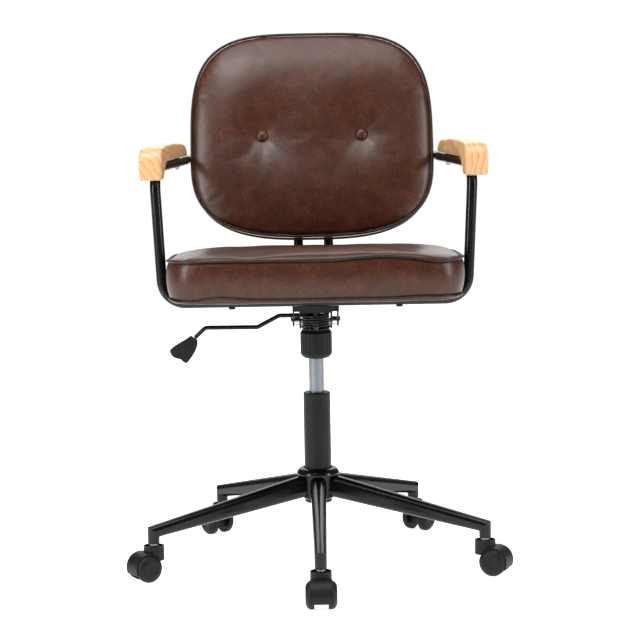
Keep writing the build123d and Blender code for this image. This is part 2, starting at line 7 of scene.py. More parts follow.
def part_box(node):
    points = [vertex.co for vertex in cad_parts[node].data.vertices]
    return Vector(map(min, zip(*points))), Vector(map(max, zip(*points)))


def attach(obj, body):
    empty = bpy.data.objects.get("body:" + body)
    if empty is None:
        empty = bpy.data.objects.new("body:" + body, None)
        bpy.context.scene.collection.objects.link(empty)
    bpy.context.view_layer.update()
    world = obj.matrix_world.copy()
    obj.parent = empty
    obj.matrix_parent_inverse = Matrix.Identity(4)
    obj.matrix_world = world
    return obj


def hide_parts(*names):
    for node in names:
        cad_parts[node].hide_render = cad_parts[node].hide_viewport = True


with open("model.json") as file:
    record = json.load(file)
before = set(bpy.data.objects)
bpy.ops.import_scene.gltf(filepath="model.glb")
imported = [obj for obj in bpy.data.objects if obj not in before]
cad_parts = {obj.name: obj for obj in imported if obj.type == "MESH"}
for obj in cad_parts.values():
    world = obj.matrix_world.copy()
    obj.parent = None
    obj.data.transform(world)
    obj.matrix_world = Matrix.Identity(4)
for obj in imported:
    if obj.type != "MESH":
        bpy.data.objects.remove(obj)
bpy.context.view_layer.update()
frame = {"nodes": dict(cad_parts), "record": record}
nodes = frame["nodes"]
mm = 0.001


# Small helpers shared by every piece

def linearColour(hexText):  # sRGB hex to the linear values that shaders take
    values = []
    for i in (1, 3, 5):
        c = int(hexText[i:i + 2], 16) / 255
        values.append(c / 12.92 if c <= 0.04045 else ((c + 0.055) / 1.055) ** 2.4)
    return (*values, 1.0)


# Adds one node with its settings, ramp stops, input values and links
def addNode(tree, kind, settings=None, values=None, links=None, stops=()):
    node = tree.nodes.new(kind)
    for name, value in (settings or {}).items():
        setattr(node, name, value)
    for i, (place, colour) in enumerate(stops):
        element = node.color_ramp.elements[i] if i < 2 else node.color_ramp.elements.new(place)
        element.position = place
        element.color = linearColour(colour)
    for name, value in (values or {}).items():
        node.inputs[name].default_value = value
    for name, source in (links or {}).items():
        tree.links.new(source, node.inputs[name])
    return node


def newMaterial(name):  # a material with its shader, output and object coordinates
    mat = bpy.data.materials.new(name)
    mat.use_nodes = True
    tree = mat.node_tree
    shader = tree.nodes["Principled BSDF"]
    coords = addNode(tree, "ShaderNodeTexCoord").outputs["Object"]
    return mat, tree, shader, coords


def dress(piece, material):  # one material over a whole piece
    piece.data.materials.clear()
    piece.data.materials.append(material)


def onlySelect(piece):
    bpy.ops.object.select_all(action="DESELECT")
    piece.select_set(True)
    bpy.context.view_layer.objects.active = piece


def applyModifiers(piece):
    onlySelect(piece)
    for modifier in list(piece.modifiers):
        bpy.ops.object.modifier_apply(modifier=modifier.name)


def settle(piece, name, body):  # place goes into the mesh, then the piece joins its body
    onlySelect(piece)
    bpy.ops.object.transform_apply(location=True, rotation=True, scale=True)
    piece.name = name
    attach(piece, body)
    return piece


# Materials

# Waxed pull-up cowhide: cloudy brown that pales where it stretches, fine pebble, soft wax gloss
def pullUpLeather(name, deep, body, worn):
    look = {"cloud": 26 * mm, "speckle": 3.0 * mm, "pebble": 1.4 * mm, "crease": 11 * mm,
            "relief": 0.13 * mm}
    mat, tree, shader, coords = newMaterial(name)
    cloud = addNode(tree, "ShaderNodeTexNoise", values={"Scale": 1 / look["cloud"], "Detail": 5.0,
                    "Roughness": 0.62, "Distortion": 0.4}, links={"Vector": coords})
    speckle = addNode(tree, "ShaderNodeTexNoise", values={"Scale": 1 / look["speckle"],
                      "Detail": 4.0, "Roughness": 0.7}, links={"Vector": coords})
    blend = addNode(tree, "ShaderNodeMix", {"data_type": "FLOAT"}, {"Factor": 0.6},
                    {"A": cloud.outputs["Fac"], "B": speckle.outputs["Fac"]})
    colour = addNode(tree, "ShaderNodeValToRGB", links={"Fac": blend.outputs["Result"]},
                     stops=[(0.3, deep), (0.5, body), (0.72, worn)]).outputs["Color"]
    tree.links.new(colour, shader.inputs["Base Color"])
    shine = addNode(tree, "ShaderNodeMapRange", values={"To Min": 0.27, "To Max": 0.42},
                    links={"Value": speckle.outputs["Fac"]}).outputs["Result"]
    tree.links.new(shine, shader.inputs["Roughness"])
    pebble = addNode(tree, "ShaderNodeTexVoronoi", {"feature": "SMOOTH_F1"},
                     {"Scale": 1 / look["pebble"], "Smoothness": 0.6}, {"Vector": coords})
    crease = addNode(tree, "ShaderNodeTexNoise", values={"Scale": 1 / look["crease"],
                     "Detail": 6.0, "Roughness": 0.6}, links={"Vector": coords})
    relief = addNode(tree, "ShaderNodeMath", {"operation": "MULTIPLY_ADD"}, {1: 3.0},
                     {0: crease.outputs["Fac"], 2: pebble.outputs["Distance"]})
    bump = addNode(tree, "ShaderNodeBump", values={"Distance": look["relief"], "Strength": 0.5},
                   links={"Height": relief.outputs["Value"]})
    tree.links.new(bump.outputs["Normal"], shader.inputs["Normal"])
    shader.inputs["Specular IOR Level"].default_value = 0.3
    shader.inputs["Coat Weight"].default_value = 0.08
    shader.inputs["Coat Roughness"].default_value = 0.24
    return mat


def glossPowderCoat():  # powder coat on steel: deep black, faint orange peel, clear highlights
    look = {"peel": 2.6 * mm, "cloud": 40 * mm, "relief": 0.03 * mm, "dark": "#040405",
            "light": "#090909"}
    mat, tree, shader, coords = newMaterial("glossPowderCoat")
    peel = addNode(tree, "ShaderNodeTexNoise", values={"Scale": 1 / look["peel"], "Detail": 2.0},
                   links={"Vector": coords})
    cloud = addNode(tree, "ShaderNodeTexNoise", values={"Scale": 1 / look["cloud"], "Detail": 3.0},
                    links={"Vector": coords})
    colour = addNode(tree, "ShaderNodeValToRGB", links={"Fac": cloud.outputs["Fac"]},
                     stops=[(0.35, look["dark"]), (0.7, look["light"])]).outputs["Color"]
    tree.links.new(colour, shader.inputs["Base Color"])
    tree.links.new(addNode(tree, "ShaderNodeMapRange", values={"To Min": 0.16, "To Max": 0.26},
                    links={"Value": cloud.outputs["Fac"]}).outputs["Result"],
                   shader.inputs["Roughness"])
    bump = addNode(tree, "ShaderNodeBump", values={"Distance": look["relief"], "Strength": 0.5},
                   links={"Height": peel.outputs["Fac"]})
    tree.links.new(bump.outputs["Normal"], shader.inputs["Normal"])
    shader.inputs["Specular IOR Level"].default_value = 0.26
    return mat


def satinLiftPaint():  # satin black paint of a lift's outer tube: dark grey, wide soft sheen
    look = {"grain": 0.9 * mm, "relief": 0.02 * mm, "dark": "#0a0b0c", "light": "#111214"}
    mat, tree, shader, coords = newMaterial("satinLiftPaint")
    grain = addNode(tree, "ShaderNodeTexNoise", values={"Scale": 1 / look["grain"], "Detail": 3.0},
                    links={"Vector": coords})
    colour = addNode(tree, "ShaderNodeValToRGB", links={"Fac": grain.outputs["Fac"]},
                     stops=[(0.3, look["dark"]), (0.7, look["light"])]).outputs["Color"]
    tree.links.new(colour, shader.inputs["Base Color"])
    tree.links.new(addNode(tree, "ShaderNodeMapRange", values={"To Min": 0.38, "To Max": 0.5},
                    links={"Value": grain.outputs["Fac"]}).outputs["Result"],
                   shader.inputs["Roughness"])
    bump = addNode(tree, "ShaderNodeBump", values={"Distance": look["relief"], "Strength": 0.6},
                   links={"Height": grain.outputs["Fac"]})
    tree.links.new(bump.outputs["Normal"], shader.inputs["Normal"])
    shader.inputs["Specular IOR Level"].default_value = 0.2
    return mat


def groundSteel():  # ground and satin-plated cylinder: pale grey, fine rings round the rod
    look = {"rings": (60, 60, 2600), "relief": 0.01 * mm, "dark": "#676c72", "light": "#868b91"}
    mat, tree, shader, coords = newMaterial("groundSteel")
    place = addNode(tree, "ShaderNodeMapping", values={"Scale": look["rings"]},
                    links={"Vector": coords})
    rings = addNode(tree, "ShaderNodeTexNoise", values={"Scale": 1.0, "Detail": 3.0},
                    links={"Vector": place.outputs["Vector"]})
    colour = addNode(tree, "ShaderNodeValToRGB", links={"Fac": rings.outputs["Fac"]},
                     stops=[(0.3, look["dark"]), (0.7, look["light"])]).outputs["Color"]
    tree.links.new(colour, shader.inputs["Base Color"])
    shader.inputs["Metallic"].default_value = 1.0
    tree.links.new(addNode(tree, "ShaderNodeMapRange", values={"To Min": 0.3, "To Max": 0.42},
                    links={"Value": rings.outputs["Fac"]}).outputs["Result"],
                   shader.inputs["Roughness"])
    bump = addNode(tree, "ShaderNodeBump", values={"Distance": look["relief"], "Strength": 0.4},
                   links={"Height": rings.outputs["Fac"]})
    tree.links.new(bump.outputs["Normal"], shader.inputs["Normal"])
    return mat


def zincPlate():  # bright zinc plating on screws and spacers: silvery with cloudy spangle
    look = {"spangle": 3 * mm, "dark": "#b9bcc0", "light": "#d8dadd"}
    mat, tree, shader, coords = newMaterial("zincPlate")
    spangle = addNode(tree, "ShaderNodeTexVoronoi", values={"Scale": 1 / look["spangle"]},
                      links={"Vector": coords})
    colour = addNode(tree, "ShaderNodeValToRGB", links={"Fac": spangle.outputs["Distance"]},
                     stops=[(0.1, look["dark"]), (0.8, look["light"])]).outputs["Color"]
    tree.links.new(colour, shader.inputs["Base Color"])
    shader.inputs["Metallic"].default_value = 1.0
    tree.links.new(addNode(tree, "ShaderNodeMapRange", values={"To Min": 0.2, "To Max": 0.34},
                    links={"Value": spangle.outputs["Distance"]}).outputs["Result"],
                   shader.inputs["Roughness"])
    return mat


def mouldedNylon():  # glass-filled nylon from a spark-eroded mould: charcoal, fine matt grain
    look = {"grit": 0.8 * mm, "cloud": 22 * mm, "relief": 0.05 * mm, "dark": "#090a0b",
            "light": "#0f1012"}
    mat, tree, shader, coords = newMaterial("mouldedNylon")
    grit = addNode(tree, "ShaderNodeTexNoise", values={"Scale": 1 / look["grit"], "Detail": 4.0,
                   "Roughness": 0.7}, links={"Vector": coords})
    cloud = addNode(tree, "ShaderNodeTexNoise", values={"Scale": 1 / look["cloud"], "Detail": 2.0},
                    links={"Vector": coords})
    colour = addNode(tree, "ShaderNodeValToRGB", links={"Fac": cloud.outputs["Fac"]},
                     stops=[(0.35, look["dark"]), (0.7, look["light"])]).outputs["Color"]
    tree.links.new(colour, shader.inputs["Base Color"])
    tree.links.new(addNode(tree, "ShaderNodeMapRange", values={"To Min": 0.42, "To Max": 0.6},
                    links={"Value": grit.outputs["Fac"]}).outputs["Result"],
                   shader.inputs["Roughness"])
    bump = addNode(tree, "ShaderNodeBump", values={"Distance": look["relief"], "Strength": 0.6},
                   links={"Height": grit.outputs["Fac"]})
    tree.links.new(bump.outputs["Normal"], shader.inputs["Normal"])
    shader.inputs["Specular IOR Level"].default_value = 0.22
    return mat


def lacqueredAsh(name, centre):  # clear-lacquered ash: pale cream with long tan growth lines
    look = {"ring": 5.5 * mm, "drift": 30 * mm, "shift": 22 * mm, "relief": 0.05 * mm,
            "fibre": (1700, 60, 1700), "pale": "#c9a274", "body": "#bd9163", "line": "#a07449"}
    mat, tree, shader, coords = newMaterial(name)
    turn = addNode(tree, "ShaderNodeMapping", values={"Location": centre,
                   "Rotation": (radians(7), radians(12), 0)}, links={"Vector": coords})
    stretch = addNode(tree, "ShaderNodeMapping", values={"Scale": (1, 0.16, 1)},
                      links={"Vector": turn.outputs["Vector"]})
    drift = addNode(tree, "ShaderNodeTexNoise", values={"Scale": 1 / look["drift"], "Detail": 2.0},
                    links={"Vector": stretch.outputs["Vector"]})
    shift = addNode(tree, "ShaderNodeVectorMath", {"operation": "SCALE"}, {"Scale": look["shift"]},
                    {0: drift.outputs["Color"]})
    bent = addNode(tree, "ShaderNodeVectorMath", {"operation": "ADD"},
                   links={0: stretch.outputs["Vector"], 1: shift.outputs["Vector"]})
    rings = addNode(tree, "ShaderNodeTexWave", {"wave_type": "RINGS", "rings_direction": "Y",
                    "wave_profile": "SAW"}, {"Scale": 0.5 / look["ring"] / 3.2, "Distortion": 0.5,
                    "Detail": 2.0, "Detail Scale": 2.0}, {"Vector": bent.outputs["Vector"]})
    fibreSpace = addNode(tree, "ShaderNodeMapping", values={"Scale": look["fibre"]},
                         links={"Vector": coords})
    fibre = addNode(tree, "ShaderNodeTexNoise", values={"Scale": 1.0, "Detail": 3.0},
                    links={"Vector": fibreSpace.outputs["Vector"]})
    mix = addNode(tree, "ShaderNodeMix", {"data_type": "FLOAT"}, {"Factor": 0.3},
                  {"A": rings.outputs["Fac"], "B": fibre.outputs["Fac"]})
    colour = addNode(tree, "ShaderNodeValToRGB", links={"Fac": mix.outputs["Result"]},
                     stops=[(0.1, look["pale"]), (0.66, look["body"]),
                            (0.97, look["line"])]).outputs["Color"]
    tree.links.new(colour, shader.inputs["Base Color"])
    tree.links.new(addNode(tree, "ShaderNodeMapRange", values={"To Min": 0.34, "To Max": 0.46},
                    links={"Value": fibre.outputs["Fac"]}).outputs["Result"],
                   shader.inputs["Roughness"])
    bump = addNode(tree, "ShaderNodeBump", values={"Distance": look["relief"], "Strength": 0.4},
                   links={"Height": fibre.outputs["Fac"]})
    tree.links.new(bump.outputs["Normal"], shader.inputs["Normal"])
    shader.inputs["Coat Weight"].default_value = 0.15
    shader.inputs["Coat Roughness"].default_value = 0.3
    return mat


def birchPly():  # raw birch plywood: pale veneer with darker glue streaks
    look = {"layers": (40, 8, 700), "dark": "#a9855a", "light": "#d9bd92"}
    mat, tree, shader, coords = newMaterial("birchPly")
    place = addNode(tree, "ShaderNodeMapping", values={"Scale": look["layers"]},
                    links={"Vector": coords})
    layers = addNode(tree, "ShaderNodeTexNoise", values={"Scale": 1.0, "Detail": 3.0},
                     links={"Vector": place.outputs["Vector"]})
    colour = addNode(tree, "ShaderNodeValToRGB", links={"Fac": layers.outputs["Fac"]},
                     stops=[(0.35, look["dark"]), (0.65, look["light"])]).outputs["Color"]
    tree.links.new(colour, shader.inputs["Base Color"])
    shader.inputs["Roughness"].default_value = 0.75
    return mat


def spunDustCloth():  # non-woven black dust cloth: matt, with a dimpled bonding pattern
    look = {"bond": 1.8 * mm, "relief": 0.15 * mm, "dark": "#101011", "light": "#222224"}
    mat, tree, shader, coords = newMaterial("spunDustCloth")
    bond = addNode(tree, "ShaderNodeTexVoronoi", values={"Scale": 1 / look["bond"],
                   "Randomness": 0.3}, links={"Vector": coords})
    colour = addNode(tree, "ShaderNodeValToRGB", links={"Fac": bond.outputs["Distance"]},
                     stops=[(0.1, look["dark"]), (0.7, look["light"])]).outputs["Color"]
    tree.links.new(colour, shader.inputs["Base Color"])
    shader.inputs["Roughness"].default_value = 0.9
    bump = addNode(tree, "ShaderNodeBump", values={"Distance": look["relief"], "Strength": 0.7},
                   links={"Height": bond.outputs["Distance"]})
    tree.links.new(bump.outputs["Normal"], shader.inputs["Normal"])
    return mat


leather = pullUpLeather("pullUpLeather", "#1f0c05", "#39190c", "#563020")
# Darker leather for the piping cords: painted shade standing in for the shadow in the creases
# beside each seam
paintedShadeWeltLeather = pullUpLeather("paintedShadeWeltLeather", "#0e0502", "#1a0b06", "#2b160e")
powderCoat = glossPowderCoat()
liftPaint = satinLiftPaint()
steel = groundSteel()
zinc = zincPlate()
nylon = mouldedNylon()
ply = birchPly()
dustCloth = spunDustCloth()
print("stage: materials made")

slotLook = {"black_steel": powderCoat, "bright_steel": zinc, "black_nylon": nylon,
            "brown_leather": leather, "plywood": ply, "dust_cover": dustCloth}
slotOf = {part["node"]: part["material_slot"] for part in frame["record"]["subparts"]}
for nodeName, obj in nodes.items():
    if slotOf[nodeName] in slotLook:
        dress(obj, slotLook[slotOf[nodeName]])
dress(nodes["lift_outer_tube"], liftPaint)
dress(nodes["lift_cylinder"], steel)
dress(nodes["tension_spring"], nylon)
dress(nodes["spring_washer"], powderCoat)
dress(nodes["seat_bolts"], powderCoat)


# Room, lights and camera

def makeRoom():
    room = {"floorSize": 30, "floorWhite": "#f4f4f4", "floorGlow": 0.84, "skyForLight": 0.17}
    bpy.ops.mesh.primitive_plane_add(size=room["floorSize"], location=(0, 0, -0.5 * mm))
    floor = bpy.context.object
    floor.name = "floor"
    mat, _, shader, _ = newMaterial("paleFloor")
    shader.inputs["Base Color"].default_value = linearColour(room["floorWhite"])
    shader.inputs["Roughness"].default_value = 0.8
    shader.inputs["Specular IOR Level"].default_value = 0.2
    shader.inputs["Emission Color"].default_value = (1, 1, 1, 1)
    shader.inputs["Emission Strength"].default_value = room["floorGlow"]
    dress(floor, mat)
    world = bpy.data.worlds.new("whiteStudio")
    world.use_nodes = True
    tree = world.node_tree
    tree.nodes.clear()
    ray = addNode(tree, "ShaderNodeLightPath")
    level = addNode(tree, "ShaderNodeMapRange", values={"To Min": room["skyForLight"],
                    "To Max": 1.0}, links={"Value": ray.outputs["Is Camera Ray"]})
    sky = addNode(tree, "ShaderNodeBackground", values={"Color": (1, 1, 1, 1)},
                  links={"Strength": level.outputs["Result"]})
    addNode(tree, "ShaderNodeOutputWorld", links={"Surface": sky.outputs["Background"]})
    bpy.context.scene.world = world


def softbox(name, spot, aim, size, power):  # a large square lamp aimed at a point
    bpy.ops.object.light_add(type="AREA", location=spot)
    lamp = bpy.context.object
    lamp.name = name
    lamp.data.shape = "RECTANGLE"
    lamp.data.size, lamp.data.size_y = size
    lamp.data.energy = power
    lamp.rotation_euler = (Vector(aim) - Vector(spot)).to_track_quat("-Z", "Y").to_euler()


def makeCamera():
    eye = {"place": (-0.0288, -4.7427, 1.1396), "pitch": 0.1426, "yaw": 0.0078, "roll": -0.0165,
           "lens": 146.4}
    bpy.ops.object.camera_add(location=eye["place"])
    camera = bpy.context.object
    ahead = Vector((sin(eye["yaw"]) * cos(eye["pitch"]), cos(eye["yaw"]) * cos(eye["pitch"]),
                    -sin(eye["pitch"])))
    level = Vector((cos(eye["yaw"]), -sin(eye["yaw"]), 0))
    rise = level.cross(ahead)
    right = level * cos(eye["roll"]) + rise * sin(eye["roll"])
    up = rise * cos(eye["roll"]) - level * sin(eye["roll"])
    turn = Matrix((right, up, -ahead)).transposed()
    camera.rotation_euler = turn.to_euler()
    camera.data.lens = eye["lens"]
    camera.data.sensor_width = 36
    camera.data.clip_end = 100
    bpy.context.scene.camera = camera


makeRoom()
softbox("keyLeft", (-2.5, -1.7, 1.5), (0, -0.1, 0.6), (0.55, 2.0), 66)
softbox("keyRight", (2.7, -1.3, 1.5), (0, 0, 0.6), (0.5, 2.0), 50)
softbox("frontHigh", (-1.0, -1.7, 3.3), (0, 0, 0.5), (1.0, 0.7), 34)
softbox("overhead", (0, -0.7, 3.0), (0, 0, 0.4), (2.4, 1.6), 62)
softbox("floorWash", (0, 2.6, 2.6), (0, 0.6, 0), (3.0, 1.4), 40)
softbox("backCard", (0, 2.7, 1.3), (0, 0, 0.8), (2.6, 0.9), 16)
makeCamera()
bpy.context.scene.view_settings.view_transform = "Standard"
print("stage: room and camera ready")


# Seat cushion: box cushion, top panel and boxing joined by two piped seams

seatLow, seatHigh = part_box("seat_cushion")
seat = {
    "voxel": 5 * mm, "topFront": 600.5 * mm, "topFall": 0.085,
    "bottomSeam": 530 * mm, "bottomInset": 0.5 * mm, "welt": 2.4 * mm, "crown": 14 * mm,
    "bow": 6 * mm, "bulgeCap": 5 * mm, "pressure": 4.0, "power": 7.5, "groove": 2.2 * mm,
    "blank": 70 * mm, "foot": 7 * mm, "wanderDepth": 0.12, "sideReach": 0.26, "frontReach": 0.225,
    "topWander": ((5, 0.115, 0.055), (-6, 0.222, 0.035), (-1.2, -0.225, 0.03)),
    "lowWander": ((5, -0.165, 0.035), (-2.5, -0.225, 0.025), (2, 0.19, 0.04)),
}


def bell(x, centre, width):
    return exp(-((x - centre) / width) ** 2)


def topSeamZ(x, y):  # height of the upper seam, with the slight wander of hand sewing at the front
    z = seat["topFront"] - seat["topFall"] * (y - seatLow.y)
    wander = sum(rise * bell(x, centre, width) for rise, centre, width in seat["topWander"])
    return z + wander * mm * bell(y, seatLow.y, seat["wanderDepth"])


def bottomSeamZ(x, y):
    wander = sum(rise * bell(x, centre, width) for rise, centre, width in seat["lowWander"])
    return seat["bottomSeam"] + wander * mm * bell(y, seatLow.y, seat["wanderDepth"])


tubeLow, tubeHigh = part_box("arm_tube_right")


def clearOfTube(x, y, z, margin):  # draws the cushion's side in where the arm tube stands beside it
    tube = {"radius": 9.5 * mm, "bend": 42 * mm, "lean": 12 * mm, "drift": 13 * mm,
            "core": 14 * mm, "fade": 70 * mm}
    crossZ = tubeLow.z + tube["radius"]
    part = (z - crossZ) / (tubeHigh.z - tube["radius"] - crossZ)
    footX = tubeHigh.x - tube["radius"] - tube["lean"]
    tubeY = tubeLow.y + tube["radius"] + tube["drift"] * part
    wall = footX + tube["lean"] * part - tube["radius"]
    drop = crossZ + tube["bend"] - z
    if drop > 0:
        reach = tube["bend"] - tube["radius"]
        wall = footX - tube["bend"] + sqrt(max(reach ** 2 - drop ** 2, 0))
    near = min(max(1 - (abs(y - tubeY) - tube["core"]) / tube["fade"], 0), 1)
    near = near * near * (3 - 2 * near)
    over = abs(x) - (wall - margin)
    return x if over <= 0 else x - (1 if x > 0 else -1) * over * near


def seatRing(inset, count=200):  # rounded rectangle round the seat, as evenly turned points
    middle = (seatLow + seatHigh) / 2
    halfX = (seatHigh.x - seatLow.x) / 2 - inset
    halfY = (seatHigh.y - seatLow.y) / 2 - inset
    points = []
    for i in range(count):
        t = 2 * pi * i / count
        x = halfX * abs(cos(t)) ** (2 / seat["power"]) * (1 if cos(t) > 0 else -1)
        y = halfY * abs(sin(t)) ** (2 / seat["power"]) * (1 if sin(t) > 0 else -1)
        points.append((middle.x + x, middle.y + y))
    return evenly(points, count)


def evenly(points, count):  # the same closed line with its points at equal steps
    closed = [Vector((*p, 0)) if len(p) == 2 else Vector(p) for p in points]
    closed.append(closed[0])
    steps = [0.0]
    for a, b in zip(closed, closed[1:]):
        steps.append(steps[-1] + (b - a).length)
    result = []
    k = 0
    for i in range(count):
        want = steps[-1] * i / count
        while steps[k + 1] < want:
            k += 1
        part = (want - steps[k]) / max(steps[k + 1] - steps[k], 1e-9)
        result.append(closed[k].lerp(closed[k + 1], part))
    return result


def piping(points, radius, name):  # leather-covered cord sewn along a closed line
    curve = bpy.data.curves.new(name, "CURVE")
    curve.dimensions = "3D"
    curve.bevel_depth = radius
    curve.bevel_resolution = 3
    curve.resolution_u = 2
    line = curve.splines.new("NURBS")
    line.points.add(len(points) - 1)
    for point, p in zip(line.points, points):
        point.co = (*p, 1)
    line.use_cyclic_u = True
    line.order_u = 4
    piece = bpy.data.objects.new(name, curve)
    bpy.context.collection.objects.link(piece)
    onlySelect(piece)
    bpy.ops.object.convert(target="MESH")
    piece = bpy.context.object
    bpy.ops.object.shade_smooth()
    # the cords get the darker leather, which paints in the shade of the seam creases
    dress(piece, paintedShadeWeltLeather)
    return piece


def inflate(piece, pinned, cap, pressure):  # swells a closed skin as stuffing does, seams held
    group = piece.vertex_groups.new(name="seams")
    for index, weight in pinned.items():
        group.add([index], weight, "REPLACE")
    rest = [v.co.copy() for v in piece.data.vertices]
    cloth = piece.modifiers.new("stuffing", "CLOTH")
    cloth.settings.quality = 6
    cloth.settings.mass = 0.25
    cloth.settings.tension_stiffness = 14
    cloth.settings.compression_stiffness = 14
    cloth.settings.bending_stiffness = 0.8
    cloth.settings.use_pressure = True
    cloth.settings.uniform_pressure_force = pressure
    cloth.settings.vertex_group_mass = "seams"
    cloth.settings.effector_weights.gravity = 0
    cloth.collision_settings.use_collision = False
    cloth.point_cache.frame_start = 1
    cloth.point_cache.frame_end = 20
    for step in range(1, 21):
        bpy.context.scene.frame_set(step)
    onlySelect(piece)
    bpy.ops.object.modifier_apply(modifier=cloth.name)
    for v, was in zip(piece.data.vertices, rest):
        move = v.co - was
        if move.length > cap:
            v.co = was + move * (cap / move.length)
    bpy.context.scene.frame_set(1)


def voxelSkin(piece, size):  # even quads over a closed shape
    piece.data.remesh_voxel_size = size
    onlySelect(piece)
    bpy.ops.object.voxel_remesh()


def makeSeatCushion():
    bpy.ops.object.select_all(action="DESELECT")
    bpy.ops.mesh.primitive_circle_add(vertices=200, fill_type="NGON", radius=0.3)
    piece = bpy.context.object
    for v, p in zip(piece.data.vertices, seatRing(1 * mm)):
        v.co = (p.x, p.y, seatLow.z)
    bpy.ops.object.mode_set(mode="EDIT")
    bpy.ops.mesh.select_all(action="SELECT")
    bpy.ops.mesh.extrude_region_move(TRANSFORM_OT_translate={"value": (0, 0, seat["blank"])})
    bpy.ops.mesh.select_all(action="SELECT")
    bpy.ops.mesh.normals_make_consistent(inside=False)
    bpy.ops.object.mode_set(mode="OBJECT")
    voxelSkin(piece, seat["voxel"])
    shapeSeat(piece)
    inflate(piece, seamPins(piece), seat["bulgeCap"], seat["pressure"])
    finishSeat(piece)
    return piece


def seatEdge(x, y):  # 0 in the middle of the seat, 1 on its outline
    middle = (seatLow + seatHigh) / 2
    a = abs(x - middle.x) / ((seatHigh.x - seatLow.x) / 2)
    b = abs(y - middle.y) / ((seatHigh.y - seatLow.y) / 2)
    return (a ** seat["power"] + b ** seat["power"]) ** (1 / seat["power"])


def shapeSeat(piece):  # sets seams, boxing and crown before the stuffing swells it
    base, top = seatLow.z, seatLow.z + seat["blank"]
    middle = (seatLow + seatHigh) / 2
    for v in piece.data.vertices:
        x, y, z = v.co
        part = min(max((z - base) / (top - base), 0), 1)
        edge = min(seatEdge(x, y), 1)
        seamTop, seamLow = topSeamZ(x, y), bottomSeamZ(x, y)
        crown = seat["crown"] * (1 - edge ** 7) ** 0.55 * (1 - 0.3 * bell(y, seatHigh.y, 0.15))
        if part > 0.999:
            v.co.z = seamTop + crown
        elif part < 0.001:
            v.co.z = seatLow.z + 1.5 * mm * bell(edge, 1, 0.03)
        else:
            bow = sin(pi * min(max((z - base - 5 * mm) / (top - base - 5 * mm), 0), 1))
            low = base + seat["foot"]
            if z < low:
                v.co.z = seatLow.z + (z - base) / (low - base) * (seamLow - seatLow.z)
                pull = seat["bottomInset"]
            else:
                v.co.z = seamLow + (z - low) / (top - low) * (seamTop - seamLow)
                pull = seat["bottomInset"] * (1 - (z - low) / (top - low)) ** 1.5
            grow = seat["bow"] * bow ** 0.75 - pull
            out = Vector((x - middle.x, y - middle.y, 0))
            out = Vector((out.x * abs(out.x) ** 5 / (seat["sideReach"] ** 5),
                          out.y * abs(out.y) ** 5 / (seat["frontReach"] ** 5), 0))
            v.co += out.normalized() * grow


def seamPins(piece):  # which vertices the two seams and the board hold
    pins = {}
    for v in piece.data.vertices:
        edge = seatEdge(v.co.x, v.co.y)
        nearTop = abs(v.co.z - topSeamZ(v.co.x, v.co.y)) < 3.4 * mm and edge > 0.975
        nearLow = v.co.z < bottomSeamZ(v.co.x, v.co.y) + 2.5 * mm
        if nearTop or nearLow:
            pins[v.index] = 1.0
    return pins


def finishSeat(piece):  # creases from sitting, the dip beside each seam, room for the arm tubes
    for v in piece.data.vertices:
        x, y, z = v.co
        top = z > topSeamZ(x, y) + 2 * mm
        spread = noise.noise(Vector((x * 14, y * 9, z * 20))) * (1.4 if top else 0.9) * mm
        fold = noise.noise(Vector((x * 60, y * 22, 3))) * (0.35 if top else 0.2) * mm
        dip = seat["groove"] * bell(z, topSeamZ(x, y), 5 * mm) * (1 if seatEdge(x, y) > 0.96 else 0)
        v.co += v.normal * (spread + fold - dip)
        v.co.x = clearOfTube(v.co.x, v.co.y, v.co.z, 1.6 * mm)
    smooth = piece.modifiers.new("soften", "SMOOTH")
    smooth.iterations = 2
    smooth.factor = 0.5
    finer = piece.modifiers.new("finer", "SUBSURF")
    finer.levels = finer.render_levels = 1
    applyModifiers(piece)
    bpy.ops.object.shade_smooth()
    dress(piece, leather)


seatCushion = settle(makeSeatCushion(), "seatCushion", "seat")
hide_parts("seat_cushion")
for seamName, inset, height in (("seatTopPiping", -1.0 * mm, topSeamZ),
                                ("seatLowerPiping", -1.6 * mm, bottomSeamZ)):
    ring = []
    for p in seatRing(inset):
        z = height(p.x, p.y)
        ring.append((clearOfTube(p.x, p.y, z, seat["welt"] + 1 * mm), p.y, z))
    settle(piping(ring, seat["welt"], seamName), seamName, "seat")
print("stage: seat made")


# Back pad: crowned leather front with two tufted buttons, boxing and a flat rear panel

recline = radians(17.5)
backUp = Vector((0, sin(recline), cos(recline)))
backOut = Vector((0, -cos(recline), sin(recline)))
backPad = {
    "halfWidth": 228.5 * mm, "lowRise": 150 * mm, "highRise": 243 * mm, "depth": 51 * mm,
    "shell": 12 * mm, "shellInset": 4 * mm, "highPower": 3.8, "lowPower": 2.87,
    "voxel": 5 * mm, "crown": 24 * mm, "buttonX": 95 * mm, "buttonV": 192 * mm,
    "dimple": 14 * mm, "dimpleWidth": 24 * mm, "welt": 2.7 * mm, "cap": 8 * mm, "pressure": 4.0,
    "buttonSeat": 12 * mm, "bow": 3.0 * mm,
}
shellLow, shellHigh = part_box("back_shell")
shellFace = backPad["depth"] - backPad["shell"] + 0.2 * mm
backFoot = Vector((
    0, shellLow.y - backPad["shellInset"] * sin(recline) - shellFace * cos(recline),
    shellLow.z - backPad["shellInset"] * cos(recline) + backPad["depth"] * sin(recline)))


def backPoint(u, v, w):
    return backFoot + Vector((u, 0, 0)) + backUp * v + backOut * w


def backPlace(p):  # across, up the back and out to the front of a point
    rel = p - backFoot
    return rel.x, rel.dot(backUp), rel.dot(backOut)


def backEdge(u, v):  # 0 at the widest line's middle, 1 on the outline
    high = v > backPad["lowRise"]
    rise = backPad["highRise"] if high else backPad["lowRise"]
    power = backPad["highPower"] if high else backPad["lowPower"]
    a = abs(u) / backPad["halfWidth"]
    b = abs(v - backPad["lowRise"]) / rise
    return (a ** power + b ** power) ** (1 / power)


